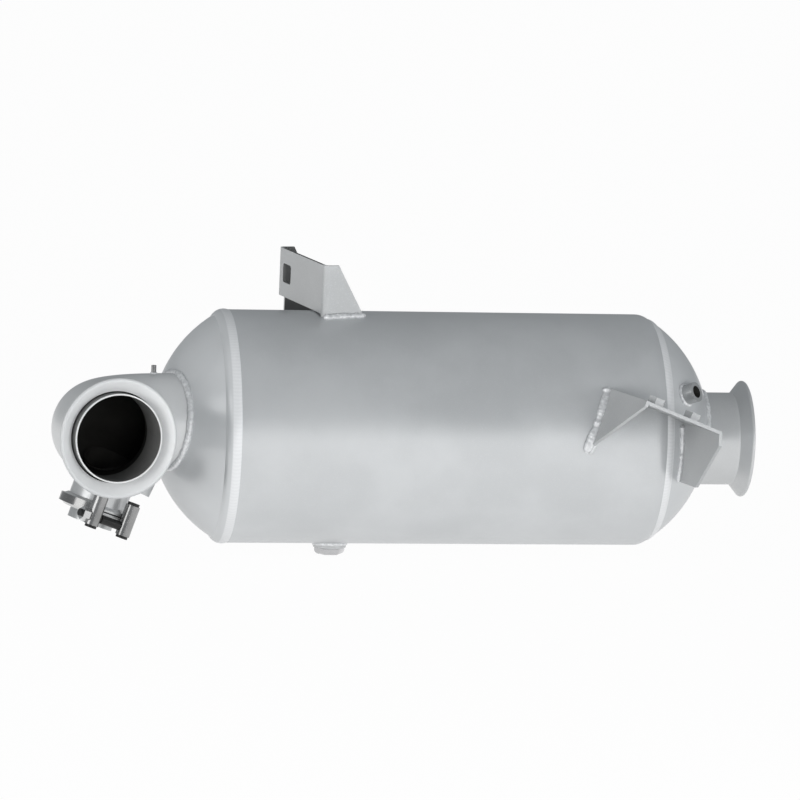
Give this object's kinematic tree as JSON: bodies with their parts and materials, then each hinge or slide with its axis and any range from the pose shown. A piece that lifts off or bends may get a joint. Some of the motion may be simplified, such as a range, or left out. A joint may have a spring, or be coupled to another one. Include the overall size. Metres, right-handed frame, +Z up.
{
  "type": "diesel particulate filter",
  "caption": "Welded steel exhaust canister with domed ends, a side-facing inlet elbow, a straight flared outlet, a clamped service stub and two folded mounting brackets.",
  "frame": {"origin": "in the middle of the outlet pipe, where it ends and its flange begins", "axes": "+X out of the outlet and along the canister, +Z up as mounted in the picture, the inlet port faces -Y"},
  "size_m": [0.7803, 0.3537, 0.3254],
  "materials": {
    "canister_steel": "satin",
    "flange_steel": "satin",
    "bracket_steel": "satin",
    "liner_steel": "satin",
    "clamp_steel": "satin",
    "dark_steel": "satin",
    "cover_steel": "satin",
    "gasket_graphite": "matte",
    "catalyst_ceramic": "matte",
    "filter_ceramic": "matte",
    "mat_fibre": "matte",
    "ring_steel": "satin"
  },
  "bodies": {
    "root": {"canister_shell": "canister_steel", "inlet_dome": "canister_steel", "outlet_dome": "canister_steel", "inlet_elbow": "canister_steel", "outlet_pipe": "canister_steel", "dosing_stub": "canister_steel", "elbow_sensor_boss": "canister_steel", "pressure_tap": "canister_steel", "outlet_sensor_boss": "canister_steel", "lower_boss": "canister_steel", "inlet_flange": "flange_steel", "outlet_flange": "flange_steel", "top_bracket": "bracket_steel", "side_bracket": "bracket_steel", "bracket_weld_nuts": "bracket_steel", "inlet_liner": "liner_steel", "liner_support_ring": "liner_steel", "clamp_retainers": "clamp_steel", "clamp_band": "clamp_steel", "clamp_trunnion": "clamp_steel", "clamp_nut": "clamp_steel", "clamp_t_bolt": "dark_steel", "elbow_sensor_plug": "dark_steel", "lower_plug": "dark_steel", "stub_cover": "cover_steel", "stub_gasket": "gasket_graphite", "oxidation_catalyst": "catalyst_ceramic", "particulate_filter": "filter_ceramic", "catalyst_mat": "mat_fibre", "filter_mat": "mat_fibre", "catalyst_retaining_rings": "ring_steel", "filter_retaining_rings": "ring_steel"}
  },
  "joints": []
}
